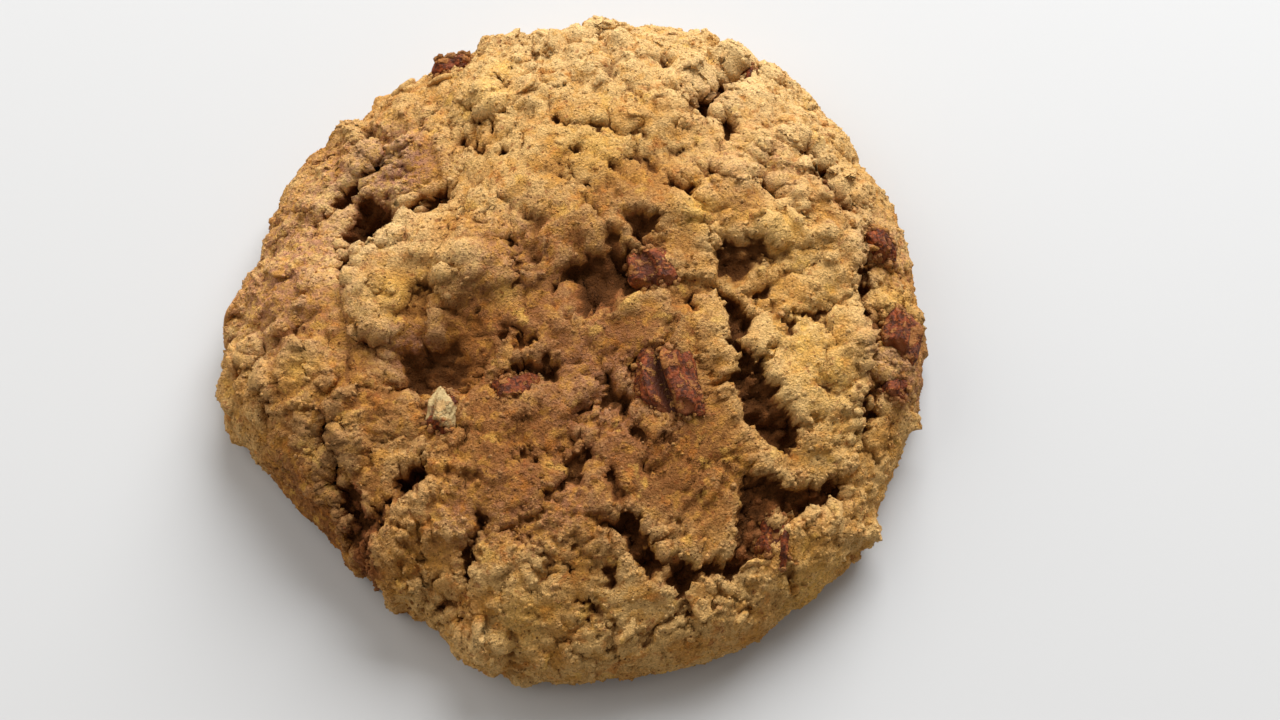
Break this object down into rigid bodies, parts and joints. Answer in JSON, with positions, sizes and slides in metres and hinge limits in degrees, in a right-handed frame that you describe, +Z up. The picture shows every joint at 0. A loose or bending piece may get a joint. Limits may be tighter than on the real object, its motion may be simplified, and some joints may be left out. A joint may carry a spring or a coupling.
{
  "type": "oatmeal cookie",
  "caption": "Thick round craggy oatmeal cookie with a domed, cracked top, oat lumps, a flat base and broken nut pieces set in its surface.",
  "frame": {"origin": "centre of the cookie's bounding box in plan, at the flat base", "axes": "+Z up through the domed top, -Y towards the lower edge of the pictured view, +X to its right"},
  "size_m": [0.0954, 0.094, 0.022],
  "materials": {
    "crust": "dry, grainy golden-brown baked dough",
    "nut_skin": "toasted red-brown nut skin with a faint oily sheen",
    "nut_flesh": "pale cream broken nut flesh"
  },
  "bodies": {
    "root": {"dough": "crust", "nut_ridged": "nut_skin", "nut_pale": "nut_flesh", "nut_sunk": "nut_skin", "nut_rim_right": "nut_skin", "nut_rim_low": "nut_skin", "nut_rim_high": "nut_skin", "nut_valley": "nut_skin", "nut_crevice": "nut_skin", "nut_hole": "nut_skin", "nut_upper": "nut_skin", "nut_back": "nut_skin"}
  },
  "joints": []
}
